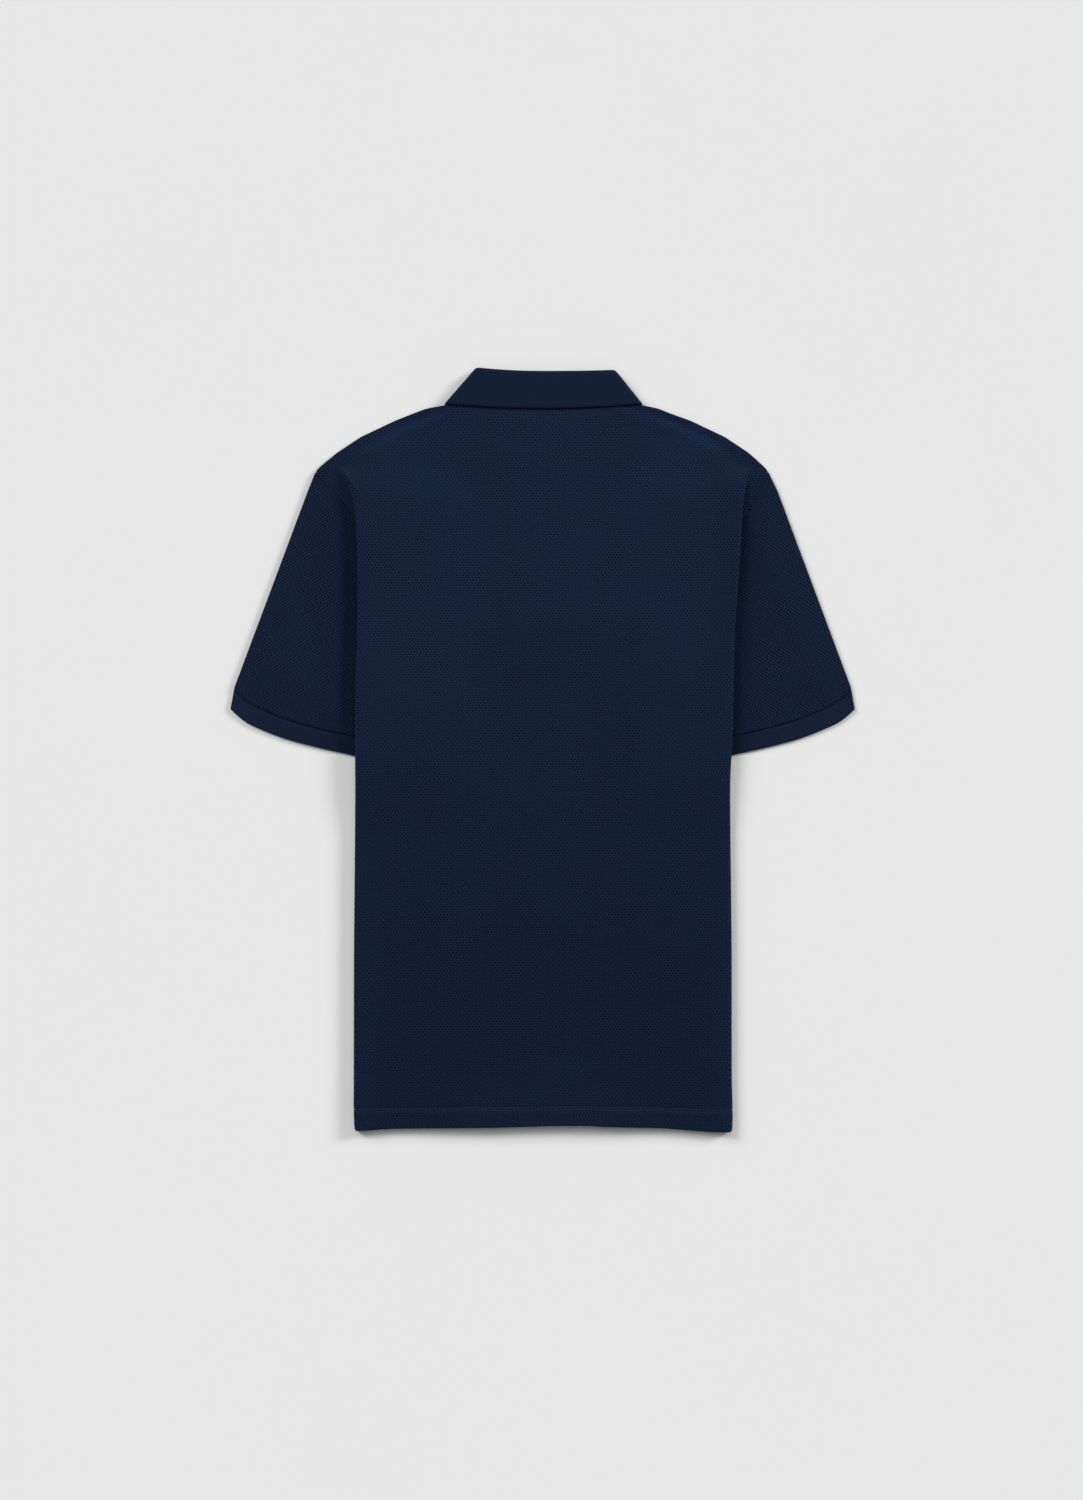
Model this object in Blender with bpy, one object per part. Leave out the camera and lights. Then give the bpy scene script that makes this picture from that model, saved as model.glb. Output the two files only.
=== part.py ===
# A short-sleeved polo shirt, laid out flat with its back up and its sides tucked under.
# Tables and sizes are in millimetres: +X right, +Y towards the collar, +Z up off the surface.
import bmesh
import bpy
import numpy as np

METRE = 0.001
PIQUE = 1.2  # wall of the knitted panels
RIB = 1.5  # wall of the collar
GAP = 0.3  # between neighbouring pieces
SEAM_GAP = 0.45  # between edges that meet along a curve, so that their chords stay clear
HALF_LAYER = (PIQUE + GAP) / 2  # each panel's middle from the face between back and front

# The turned-under side: how the cloth bends away from the back, walking outwards from the fold.
# turn and back are angles in degrees, and bend, strip and bend_back are lengths along the cloth.
FOLDS = np.array(
    [
        # y, turn, bend, strip, back, bend_back
        (101, 180, 6.3, 77, 0, 1),
        (115, 180, 6.3, 52, 0, 1),
        (133, 180, 6.3, 36, 0, 1),
        (150, 180, 6.3, 27, 0, 1),
        (185, 180, 6.3, 20, 0, 1),
        (226, 180, 6.3, 10, 0, 1),
        (234, 150, 5.2, 1.6, 30, 2),
        (238, 135, 4.6, 1.0, 80, 3),
        (242, 120, 4.2, 0.7, 120, 3.6),
        (250, 110, 4.2, 0.8, 110, 3.4),
        (258, 95, 4.2, 1, 95, 3.2),
        (266, 75, 4.5, 1, 75, 3.5),
        (272, 50, 5, 1, 50, 4),
        (279, 22, 6, 1, 22, 5),
        (285, 0, 6, 1, 0, 5),
    ]
)
# Where the fold starts to bend, on the left and on the right.
FOLD_X = np.array(
    [
        # y, left, right
        (-380, 182.2, 185.2),
        (-370, 184.4, 186.0),
        (-200, 184.2, 185.7),
        (-20, 183.2, 184.2),
        (15, 183.7, 187.2),
        (75, 182.7, 188.7),
        (128, 181.2, 189.7),
        (198, 181.2, 194.7),
        (242, 183.5, 197.3),
        (266, 188, 199),
        (279, 196, 200),
        (350, 205, 205),
    ]
)
# Outer edge of the panels where it isn't tucked under: armhole seam, shoulder corner, shoulder.
EDGE_X = np.array(
    [
        # y, left, right
        (242, 193, 207),
        (258, 206, 215),
        (270, 219, 222),
        (279, 226.5, 226.5),
        (285, 220.5, 221),
        (299, 203.5, 205.5),
        (315, 179.5, 181.5),
        (331, 145.5, 147.5),
        (339, 124.5, 124.5),
        (343, 111.5, 113.5),
        (345.5, 99, 103),
        (346.2, 93, 96.8),
        (350, 87, 91),
    ]
)
# Heights of the face between back and front: at the middle, over the tucked sides, and where
# the turned-under cloth lies. The middle gives way to the sides between x rise_from and rise_to.
HEIGHTS = np.array(
    [
        # y, middle, side, lowest, rise_from, rise_to
        (-380, 2.2, 4.35, 1.35, 30, 106),
        (-300, 1.35, 4.35, 1.35, 30, 106),
        (-50, 1.35, 4.35, 1.35, 30, 106),
        (-18, 1.35, 7.35, 4.35, 40, 106),
        (60, 1.35, 7.35, 4.35, 40, 106),
        (133, 4.15, 7.35, 4.35, 40, 106),
        (226, 4.15, 7.35, 4.35, 40, 106),
        (234, 4.15, 7.3, 1.35, 40, 106),
        (250, 4.15, 7.0, 1.35, 45, 110),
        (266, 4.15, 6.2, 1.35, 60, 120),
        (285, 4.15, 4.6, 1.35, 70, 130),
        (315, 4.15, 3.6, 1.35, 90, 130),
        (331, 4.15, 3.7, 1.8, 90, 130),
        (343, 4.15, 3.9, 3.7, 90, 130),
        (350, 4.15, 4.15, 4.15, 70, 80),
    ]
)
ROWS = (
    *(-380, -370, -200, -50, -18, 60, 101, 115, 133, 150, 185, 226, 234, 238, 242, 250),
    *(258, 266, 272, 279, 285, 299, 315, 331, 339, 343, 345.5, 346.2, 350),
)
HEM = np.array(
    [
        # x, rise of the edge
        (-190, 0.2),
        (-177, 0.8),
        (-153, 2.6),
        (-45, 3.9),
        (2, 5.5),
        (45, 5.9),
        (62, 4.7),
        (122, 3.2),
        (146, 1.2),
        (170, -0.6),
        (190, -0.8),
    ]
)
HEM_FROM = -200  # the hem's slope fades out up to here
HEM_RUN = 180

MAIN_AT = (0, 0.12, 0.28, 0.44, 0.6, 0.83, 1)  # columns from the middle gap out to the fold
PUFF_WIDTH = 25  # the cloth lifts towards its fold over this width
TAIL = 0.5  # shortest last stretch of a row
FOLD_RADIUS = 2
EDGE_FLAT = 14  # at the shoulders, this much lies flat beyond the last column of the main stretch
CORNER_Y = 279  # the shoulder corner

# The slot for the placket, and the front neckline above it.
PLACKET_HALF = 16
PLACKET_FOOT = 133
NECKLINE = np.array(
    [
        # y, half width
        (283.2, PLACKET_HALF + GAP),
        (285, 26),
        (299, 50),
        (315, 60),
        (331, 66),
        (339, 68),
        (350, 70),
    ]
)
# The back rides higher over the placket: by LIFT, within these limits, easing off over each run.
LIFT = 1.6
LIFT_REACH = 70
LIFT_RUN = 45
LIFT_FOOT = 100
LIFT_HEAD = 310
LIFT_ENDS = 30

# The collar: half its thickness at the stand and at the leaf, about its middle height.
COLLAR_MIDDLE = 4.15
STAND_OFF = 0.9
LEAF_OFF = 3.4
COLLAR_SIDES = {
    # where the collar turns from back to front: seam, top fold and free edge
    -1: {"seam": (84.5, 350.4), "roll": (60.3, 380.7), "edge": (91.5, 346.6)},
    1: {"seam": (88.3, 350.4), "roll": (68.3, 378.3), "edge": (95.3, 346.6)},
}
COLLAR_BACK = {"seam": 350.4, "roll": 377.2, "edge": 342.4}  # y at the centre of the back
COLLAR_FRONT = {"roll": (4, 300), "edge": (62, 262)}  # its front end, down to the collar point
COLLAR_BOW = {"roll": (11.3, -8.1), "edge": (6, 0)}  # how far each line bows on its way round

# The sleeve's armhole: y, and how far inside the fold the seam runs, below the visible stretch.
ARMHOLE = np.array(
    [(232, -1.4), (226, -1), (214, 6), (185, 17), (150, 24), (133, 33), (115, 49), (101, 73)]
)
SEAM_ROWS = (272, 266, 258, 250, 242)
# Where the sleeve meets its cuff, and the cuff's free edge, from the outer fold inwards.
CUFF = np.array(
    [
        # seam x, seam y, edge x, edge y
        (307.4, 62.0, 311.0, 41.6),
        (299.0, 52.2, 298.0, 29.7),
        (286.5, 45.2, 284.5, 23.5),
        (273.5, 39.0, 271.0, 17.8),
        (257.5, 32.4, 255.0, 12.0),
        (235.5, 25.8, 234.0, 6.4),
        (212.0, 19.8, 211.0, 0.9),
        (188.0, 15.6, 187.0, -4.2),
        (164.0, 7.0, 157.5, -13.0),
    ]
)
SLEEVE_STATIONS = 6
CUFF_STATIONS = 2

BUTTON_SIDES = 20
# radius and height of the button's turned profile, from the middle of its face to its back
BUTTON_PROFILE = ((3.4, 0.9), (4.2, 0), (5.1, 0), (5.6, 0.6), (5.3, 2.0), (3.9, 2.5))
BUTTONS_Y = (270, 214, 158)

NAVY = (0.0105, 0.0185, 0.048)
RIB_NAVY = (0.0085, 0.0145, 0.034)
BUTTON_NAVY = (0.012, 0.017, 0.035)


def at(table, y, column):
    return float(np.interp(y, table[:, 0], table[:, column]))


def ease(t):
    t = np.clip(t, 0, 1)
    return t * t * (3 - 2 * t)


def material(name, colour, roughness):
    made = bpy.data.materials.new(name)
    made.use_nodes = True
    shader = made.node_tree.nodes["Principled BSDF"]
    shader.inputs["Base Color"].default_value = (*colour, 1)
    shader.inputs["Roughness"].default_value = roughness
    shader.inputs["Metallic"].default_value = 0
    return made


def make_object(name, points, faces, finish):
    mesh = bpy.data.meshes.new(name)
    mesh.from_pydata(np.asarray(points) * METRE, [], faces)
    mesh.materials.append(finish)
    work = bmesh.new()
    work.from_mesh(mesh)
    bmesh.ops.recalc_face_normals(work, faces=work.faces)
    work.to_mesh(mesh)
    work.free()
    mesh.shade_smooth()
    mesh.set_sharp_from_angle(angle=np.radians(40))
    made = bpy.data.objects.new(name, mesh)
    bpy.context.collection.objects.link(made)
    return made


def shell(name, outer, inner, finish, ring=False, cut=None):
    """A wall between two grids of points, closed along its edges. cut marks cells left out."""
    rows, columns = outer.shape[:2]
    count = rows * columns
    faces = []
    once = {}
    for i in range(rows - 1):
        for j in range(columns if ring else columns - 1):
            if cut is not None and cut[i, j]:
                continue
            k = (j + 1) % columns
            quad = (i * columns + j, i * columns + k, (i + 1) * columns + k, (i + 1) * columns + j)
            # Split the same way on every face, so that stacked panels stay parallel.
            for triangle in (quad[:3], quad[2:] + quad[:1]):
                faces.append(triangle)
                faces.append(tuple(count + v for v in reversed(triangle)))
            for a, b in zip(quad, quad[1:] + quad[:1]):
                if (b, a) in once:
                    del once[(b, a)]
                else:
                    once[(a, b)] = True
    faces += [(b, a, count + a, count + b) for a, b in once]
    points = np.concatenate([outer.reshape(-1, 3), inner.reshape(-1, 3)])
    used = np.unique(np.concatenate([np.array(face) for face in faces]))
    new_index = np.full(len(points), -1)
    new_index[used] = np.arange(len(used))
    faces = [tuple(int(new_index[v]) for v in face) for face in faces]
    return make_object(name, points[used], faces, finish)


def walk(steps):
    """Points and headings along straights and bends: each step is a length, a turn and a count."""
    points, headings = [0j], [0.0]
    for length, turn, count in steps:
        start, heading = points[-1], headings[-1]
        for t in np.arange(1, count + 1) / count:
            half = turn * t / 2
            points.append(start + length * t * np.exp(1j * (heading + half)) * np.sinc(half / np.pi))
            headings.append(heading + turn * t)
    return np.array(points), np.array(headings)


def fold_walk(y, side):
    """The turned-under stretch of one row, from the start of its bend."""
    _, turn, bend, strip, back, bend_back = (at(FOLDS, y, column) for column in range(6))
    turn, back = np.radians(turn), np.radians(back)
    steps = [(bend, -turn, 3), (strip, 0, 1), (bend_back, back, 2)]
    points, headings = walk(steps)
    tail = TAIL
    if abs(headings[-1]) < 0.01:
        column = 1 if side < 0 else 2
        tail = max(TAIL, at(EDGE_X, y, column) - fold_x(y, side) - points[-1].real)
    return walk(steps + [(tail, 0, 1)])


def fold_x(y, side):
    column = 1 if side < 0 else 2
    start = at(FOLD_X, y, column)
    return min(start, at(EDGE_X, y, column) - EDGE_FLAT) if y > CORNER_Y else start


def main_height(x, y, start, top):
    """Height of the face between the panels inside the fold, which starts at x = start."""
    middle, side = at(HEIGHTS, y, 1), at(HEIGHTS, y, 2)
    rise_from, rise_to = at(HEIGHTS, y, 4), at(HEIGHTS, y, 5)
    rise = (side - middle) * ease((x - rise_from) / (rise_to - rise_from))
    return middle + rise + (top - side) * ease((x - start + PUFF_WIDTH) / PUFF_WIDTH)


def half_row(y, side, gap):
    """Points and normals of one row on one side, from the middle outwards, in x and z."""
    turned, headings = fold_walk(y, side)
    start = fold_x(y, side)
    top = at(HEIGHTS, y, 3) - turned[-1].imag
    x = gap + np.array(MAIN_AT) * (start - gap)
    z = main_height(x, y, start, top)
    slope = (main_height(x + 0.5, y, start, top) - main_height(x - 0.5, y, start, top))
    slope[-1] = 0
    x = np.concatenate([x, start + turned[1:].real])
    z = np.concatenate([z, top + turned[1:].imag])
    angle = np.concatenate([np.arctan(slope), headings[1:]])
    return x, z, -np.sin(angle), np.cos(angle)


def panel(name, offset, lift, gaps, cut, finish):
    """A body panel, its middle offset from the face between back and front."""
    outer, inner = [], []
    for y, gap in zip(ROWS, gaps):
        sides = []
        for side in (-1, 1):
            x, z, nx, nz = half_row(y, side, gap)
            along = ease((y - LIFT_FOOT) / LIFT_ENDS) * ease((LIFT_HEAD - y) / LIFT_ENDS)
            rise = lift * ease((LIFT_REACH - x) / LIFT_RUN) * along
            row_y = y + np.interp(side * x, HEM[:, 0], HEM[:, 1]) * ease((HEM_FROM - y) / HEM_RUN)
            faces = [
                np.stack([side * (x + nx * d), row_y, z + rise + nz * d], axis=1)
                for d in (offset + PIQUE / 2, offset - PIQUE / 2)
            ]
            sides.append(faces)
        outer.append(np.concatenate([sides[0][0][::-1], sides[1][0]]))
        inner.append(np.concatenate([sides[0][1][::-1], sides[1][1]]))
    return shell(name, np.array(outer), np.array(inner), finish, cut=cut)


def body_panels(finish):
    columns = 2 * (len(MAIN_AT) + 7)
    centre = columns // 2 - 1
    gaps = [at(NECKLINE, y, 1) for y in ROWS]
    panel("back", HALF_LAYER, LIFT, gaps, None, finish)
    cut = np.zeros((len(ROWS) - 1, columns - 1), bool)
    cut[[y >= PLACKET_FOOT for y in ROWS[:-1]], centre] = True
    panel("front", -HALF_LAYER, 0, gaps, cut, finish)


def fractions(points):
    """How far along the line each of its points lies, from 0 to 1."""
    run = np.concatenate([[0], np.cumsum(np.linalg.norm(np.diff(points, axis=0), axis=1))])
    return run / run[-1]


def resample(points, where):
    return np.stack([np.interp(where, fractions(points), points[:, k]) for k in (0, 1)], axis=1)


def armhole(side):
    """The sleeve's end line: along the seam that shows, then on beneath the folded side."""
    column = 1 if side < 0 else 2
    corner = np.array([at(EDGE_X, CORNER_Y, column), CORNER_Y])
    seam = np.array([(at(EDGE_X, y, column), y) for y in SEAM_ROWS])
    direction = seam[0] - corner
    direction /= np.linalg.norm(direction)
    away = np.array([-direction[1], direction[0]]) * SEAM_GAP
    start = corner + direction * (HALF_LAYER + PIQUE / 2)
    reach = PIQUE / 2 + HALF_LAYER + FOLD_RADIUS
    hidden = np.array([(fold_x(y, side) + reach - depth, y) for y, depth in ARMHOLE])
    return np.concatenate([[start + away], seam + away, hidden])


def flat_tube(name, lines, side, finish):
    """A flattened tube of cloth through lines of points that run from its outer fold inwards."""
    surfaces = []
    for radius in (HALF_LAYER + PIQUE / 2, HALF_LAYER - PIQUE / 2):
        rings = []
        for line in lines:
            turn = np.radians([45, 90, 135])
            ends = []
            for end, inside in ((line[0], line[1]), (line[-1], line[-2])):
                out = (end - inside) / np.linalg.norm(end - inside)
                ends.append(end + np.sin(turn)[:, None] * out * radius)
            plan = np.concatenate([line[::-1], ends[0], line, ends[1]])
            rise = np.concatenate(
                [np.ones(len(line)), np.cos(turn), -np.ones(len(line)), -np.cos(turn)]
            )
            middle = HALF_LAYER + PIQUE / 2
            rings.append(
                np.stack([side * plan[:, 0], plan[:, 1], middle + rise * radius], axis=1)
            )
        surfaces.append(np.array(rings))
    return shell(name, surfaces[0], surfaces[1], finish, ring=True)


def sleeve_and_cuff(side, word, cloth, rib):
    start = armhole(side)
    seam = resample(CUFF[:, :2], fractions(start))
    stations = np.linspace(0, 1, SLEEVE_STATIONS + 1)
    flat_tube("sleeve_" + word, [start + t * (seam - start) for t in stations], side, cloth)
    edge = resample(CUFF[:, 2:], fractions(start))
    down = (edge - seam) / np.linalg.norm(edge - seam, axis=1)[:, None]
    top = seam + down * SEAM_GAP
    stations = np.linspace(0, 1, CUFF_STATIONS + 1)
    flat_tube("cuff_" + word, [top + t * (edge - top) for t in stations], side, rib)


def collar_columns(side):
    """Plan points of seam, top fold and free edge, and how far each column has turned over."""
    sides = COLLAR_SIDES[side]
    centre_x = (COLLAR_SIDES[1]["roll"][0] - COLLAR_SIDES[-1]["roll"][0]) / 2 * side
    lines = {}
    across = np.array([0, 0.35, 0.7, 1])
    neck = NECKLINE[::-1]
    inward = np.stack([neck[:, 1] - SEAM_GAP, neck[:, 0] + GAP], axis=1)
    inward[0, 1] = sides["seam"][1]
    inward[-1, 1] += GAP
    inward = np.concatenate([inward, [(COLLAR_FRONT["roll"][0], inward[-1, 1])]])
    f = np.arange(1, len(inward) + 1) / len(inward)
    for part in ("seam", "roll", "edge"):
        end = np.array(sides[part])
        back = np.stack(
            [
                centre_x + across * (end[0] - centre_x),
                COLLAR_BACK[part] + (end[1] - COLLAR_BACK[part]) * across**2,
            ],
            axis=1,
        )
        if part == "seam":
            front = inward
        else:
            front = end + f[:, None] * (np.array(COLLAR_FRONT[part]) - end)
            bow = np.sin(np.pi * f)
            front = front + bow[:, None] * np.array(COLLAR_BOW[part])
        lines[part] = np.concatenate([back, np.repeat([end], 4, axis=0), front])
    turned = np.radians([0] * 4 + [45, 90, 135, 180] + [180] * len(f))
    return lines, turned


def collar_face(side, off):
    """One face of the collar on one side: seam to top fold, over it, and down to the edge."""
    lines, turned = collar_columns(side)
    seam, roll, edge = lines["seam"], lines["roll"], lines["edge"]
    up = (roll - seam) / np.linalg.norm(roll - seam, axis=1)[:, None]
    middle, radius = (STAND_OFF + LEAF_OFF) / 2, (LEAF_OFF - STAND_OFF) / 2 + off
    plans = [(seam, STAND_OFF - off), (roll, STAND_OFF - off)]
    for angle in np.radians([-45, 0, 45]):
        plans.append((roll + up * radius * np.cos(angle), middle + radius * np.sin(angle)))
    plans += [(roll, LEAF_OFF + off)]
    plans += [(roll + t * (edge - roll), LEAF_OFF + off) for t in (0.5, 1)]
    rows = [
        np.stack(
            [
                side * (plan[:, 0] + away * np.sin(turned)),
                plan[:, 1],
                COLLAR_MIDDLE + away * np.cos(turned),
            ],
            axis=1,
        )
        for plan, away in plans
    ]
    return np.array(rows)


def collar(finish):
    faces = []
    for off in (RIB / 2, -RIB / 2):
        left, right = collar_face(-1, off), collar_face(1, off)
        faces.append(np.concatenate([left[:, :0:-1], right], axis=1))
    return shell("collar", faces[0], faces[1], finish)


def slab(name, low, high, finish):
    xs, ys = (low[0], high[0]), (low[1], high[1])
    grids = [np.array([[(x, y, z) for x in xs] for y in ys], float) for z in (high[2], low[2])]
    return shell(name, grids[0], grids[1], finish)


def plackets(finish):
    floor = at(HEIGHTS, 200, 1) - HALF_LAYER - PIQUE / 2
    top = NECKLINE[0, 0] - GAP
    for name, level in (("placket_over", 0), ("placket_under", PIQUE + GAP)):
        low = (-PLACKET_HALF, PLACKET_FOOT + GAP, floor + level)
        high = (PLACKET_HALF, top, floor + level + PIQUE)
        slab(name, low, high, finish)


def button(number, y, finish):
    """A button with a raised rim, lying face down on the surface: its profile turned round."""
    around = np.arange(BUTTON_SIDES) * 2 * np.pi / BUTTON_SIDES
    points, faces = [], []
    for radius, height in BUTTON_PROFILE:
        x, z = radius * np.cos(around), np.full(BUTTON_SIDES, height)
        points.append(np.stack([x, y + radius * np.sin(around), z], axis=1))
    for ring in range(len(BUTTON_PROFILE) - 1):
        for k in range(BUTTON_SIDES):
            low, high = ring * BUTTON_SIDES, (ring + 1) * BUTTON_SIDES
            n = (k + 1) % BUTTON_SIDES
            faces.append((low + k, low + n, high + n, high + k))
    last = (len(BUTTON_PROFILE) - 1) * BUTTON_SIDES
    faces.append(tuple(range(BUTTON_SIDES)))
    faces.append(tuple(range(last, last + BUTTON_SIDES)))
    make_object(f"button_{number}", np.concatenate(points), faces, finish)


def centre_all():
    """Moves the meshes so that the box of the whole shirt stands on the origin."""
    objects = list(bpy.context.collection.objects)
    corners = np.array([v.co for made in objects for v in made.data.vertices])
    low, high = corners.min(axis=0), corners.max(axis=0)
    shift = np.array([(low[0] + high[0]) / 2, (low[1] + high[1]) / 2, low[2]])
    for made in objects:
        for vertex in made.data.vertices:
            vertex.co = np.array(vertex.co) - shift


def build():
    for made in list(bpy.data.objects):
        bpy.data.objects.remove(made)
    cloth = material("pique", NAVY, 0.9)
    rib = material("rib", RIB_NAVY, 0.9)
    plastic = material("button", BUTTON_NAVY, 0.35)
    body_panels(cloth)
    for side, word in ((-1, "left"), (1, "right")):
        sleeve_and_cuff(side, word, cloth, rib)
    collar(rib)
    plackets(cloth)
    for number, y in enumerate(BUTTONS_Y, 1):
        button(number, y, plastic)
    centre_all()


build()
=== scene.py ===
import bpy
import numpy as np
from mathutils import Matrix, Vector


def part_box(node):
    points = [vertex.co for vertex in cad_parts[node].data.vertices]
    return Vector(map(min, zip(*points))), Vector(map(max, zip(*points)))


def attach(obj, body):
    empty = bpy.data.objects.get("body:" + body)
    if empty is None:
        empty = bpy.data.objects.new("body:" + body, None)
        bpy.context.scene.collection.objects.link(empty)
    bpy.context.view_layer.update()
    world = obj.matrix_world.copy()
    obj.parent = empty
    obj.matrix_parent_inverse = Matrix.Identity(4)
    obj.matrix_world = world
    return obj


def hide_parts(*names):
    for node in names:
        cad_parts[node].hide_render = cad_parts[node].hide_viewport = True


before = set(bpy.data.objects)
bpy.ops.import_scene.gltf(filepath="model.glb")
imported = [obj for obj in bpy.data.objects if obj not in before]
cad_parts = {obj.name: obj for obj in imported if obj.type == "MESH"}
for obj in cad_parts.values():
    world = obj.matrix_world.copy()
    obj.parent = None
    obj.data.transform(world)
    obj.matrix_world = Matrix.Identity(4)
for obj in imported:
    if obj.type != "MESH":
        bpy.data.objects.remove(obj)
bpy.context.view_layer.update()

# A polo shirt laid flat, back up, with its sides tucked under.
# Tables and sizes are in millimetres; the mesh makers turn them into metres.
metre = 0.001
pique = 1.2  # wall of the knitted panels
rib = 1.5  # wall of the collar
gap = 0.3  # between neighbouring layers
halfLayer = (pique + gap) / 2
hemLine = -380
placketHalf = 16
placketFoot = 133

# The tables start from the collar's middle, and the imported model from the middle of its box.
low, high = np.array(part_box("placket_over")) / metre
shift = np.array([(low[0] + high[0]) / 2, low[1] - placketFoot - gap, 0])


def ease(t):
    # cubic ease from 0 to 1: 3 t squared minus 2 t cubed
    t = np.clip(t, 0, 1)
    return t * t * (3 - 2 * t)


def hump(t):
    # a round hump of height 1 at t = 0 that has died away by t = 2.5
    return np.exp(-t * t)


def tableAt(table, column, y):
    # straight lines through the table's rows
    return np.interp(y, table[:, 0], table[:, column])


def unit(vectors):
    # the same directions with length 1
    return vectors / np.linalg.norm(vectors, axis=-1, keepdims=True)


def lengthsAlong(points):
    # distance along the polyline to each of its points
    return np.concatenate([[0], np.cumsum(np.linalg.norm(np.diff(points, axis=0), axis=1))])


def resample(points, where):
    # points at the wanted shares of the polyline's length
    run = lengthsAlong(points)
    run = run / run[-1]
    return np.stack([np.interp(where, run, points[:, k]) for k in (0, 1)], axis=1)


def roundCorners(points, count, times):
    # corner cutting: each pass puts two points a quarter of the way in from each segment's ends
    for _ in range(times):
        a, b = points[:-1], points[1:]
        cut = np.stack([0.75 * a + 0.25 * b, 0.25 * a + 0.75 * b], axis=1).reshape(-1, 2)
        points = np.concatenate([points[:1], cut, points[-1:]])
    return resample(points, np.linspace(0, 1, count))


def roundedEdge(distance, reach):
    # share of the full wall left at this distance from a cut edge: a quarter of an ellipse
    t = np.clip(distance / reach, 0, 1)
    return 0.25 + 0.75 * np.sqrt(1 - (1 - t) ** 2)


def spread(count, ends=0.012):
    # even places from 0 to 1, closer at the two ends: t - 8 e sin(2 pi t) / 2 pi
    t = np.linspace(0, 1, count)
    return t - ends * 8 * np.sin(2 * np.pi * t) / (2 * np.pi)


def newObject(name, data):
    made = bpy.data.objects.new(name, data)
    bpy.context.scene.collection.objects.link(made)
    return made


def meshObject(name, points, faces, finish, uv=None):
    mesh = bpy.data.meshes.new(name)
    mesh.from_pydata(((points + shift) * metre).tolist(), [], faces)
    if uv is not None:
        corners = np.empty(len(mesh.loops), np.int32)
        mesh.loops.foreach_get("vertex_index", corners)
        layer = mesh.uv_layers.new(name="cloth")
        layer.uv.foreach_set("vector", (uv[corners] * metre).astype(np.float32).ravel())
    mesh.materials.append(finish)
    mesh.shade_smooth()
    return newObject(name, mesh)


def clothShell(name, upper, lower, uv, finish, ring=False, cut=None):
    # A wall between two grids of points. Its cells give two faces each, and every edge that
    # only one cell uses gets a face between the two grids, so the wall is closed all round.
    rows, columns = upper.shape[:2]
    count = rows * columns
    index = np.arange(count).reshape(rows, columns)
    if ring:
        index = np.concatenate([index, index[:, :1]], axis=1)
    quads = np.stack([index[:-1, :-1], index[:-1, 1:], index[1:, 1:], index[1:, :-1]], axis=-1)
    quads = quads[~cut] if cut is not None else quads.reshape(-1, 4)
    a = quads.ravel()
    b = np.roll(quads, -1, axis=1).ravel()
    lone = ~np.isin(b * count + a, a * count + b)
    walls = np.stack([b[lone], a[lone], a[lone] + count, b[lone] + count], axis=1)
    faces = np.concatenate([quads, quads[:, ::-1] + count, walls])
    points = np.concatenate([upper.reshape(-1, 3), lower.reshape(-1, 3)])
    uv = np.concatenate([uv.reshape(-1, 2)] * 2)
    corner = points[faces]
    cross = np.cross(corner[:, 2] - corner[:, 0], corner[:, 3] - corner[:, 1])
    if (cross * corner.mean(axis=1)).sum() < 0:  # the volume's sign tells which way faces point
        faces = faces[:, ::-1]
    used, where = np.unique(faces, return_inverse=True)
    return meshObject(name, points[used], where.reshape(-1, 4).tolist(), finish, uv[used])


def finishPiece(piece, slot, *nodes):
    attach(piece, "root")
    if nodes:
        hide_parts(*nodes)
    return piece


def nodeWith(tree, kind, values, **settings):
    # a node with its settings; values gives each input a number, a colour or another's output
    node = tree.nodes.new("ShaderNode" + kind)
    for setting, value in settings.items():
        setattr(node, setting, value)
    for label, value in values.items():
        if isinstance(value, (int, float, tuple)):
            node.inputs[label].default_value = value
        else:
            tree.links.new(value, node.inputs[label])
    return node.outputs


def maths(tree, operation, *values):
    return nodeWith(tree, "Math", dict(enumerate(values)), operation=operation)[0]


def waveAlong(tree, place, size, turns):
    # cos(2 pi turns place / size)
    angle = maths(tree, "MULTIPLY", maths(tree, "DIVIDE", place, size), 2 * np.pi * turns)
    return maths(tree, "COSINE", angle)


def noiseFrom(tree, where, scale, detail=2, distortion=0):
    values = {"Vector": where, "Scale": scale, "Detail": detail, "Distortion": distortion}
    return nodeWith(tree, "TexNoise", values)["Fac"]


def centred(tree, noise, strength):
    # strength (noise - 0.5)
    return maths(tree, "MULTIPLY", maths(tree, "SUBTRACT", noise, 0.5), strength)


def softStep(tree, value, low, high):
    # 0 up to low and 1 from high on, with a smooth rise between
    values = {"Value": value, "From Min": low, "From Max": high}
    return nodeWith(tree, "MapRange", values, interpolation_type="SMOOTHSTEP")["Result"]


def mixColours(tree, share, a, b):
    return nodeWith(tree, "Mix", {"Factor": share, "A": a, "B": b}, data_type="RGBA")["Result"]


def splitPlace(tree, where):
    return nodeWith(tree, "SeparateXYZ", {"Vector": where})


def newGroup(name, inputs, outputs):
    # inputs are (name, kind) or (name, kind, value), and outputs (name, kind)
    group = bpy.data.node_groups.new(name, "ShaderNodeTree")
    for way, sockets in (("INPUT", inputs), ("OUTPUT", outputs)):
        for label, kind, *value in sockets:
            made = group.interface.new_socket(name=label, in_out=way,
                                              socket_type="NodeSocket" + kind)
            if value:
                made.default_value = value[0]
    take = group.nodes.new("NodeGroupInput")
    give = group.nodes.new("NodeGroupOutput")
    return group, take.outputs, give.inputs


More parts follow.
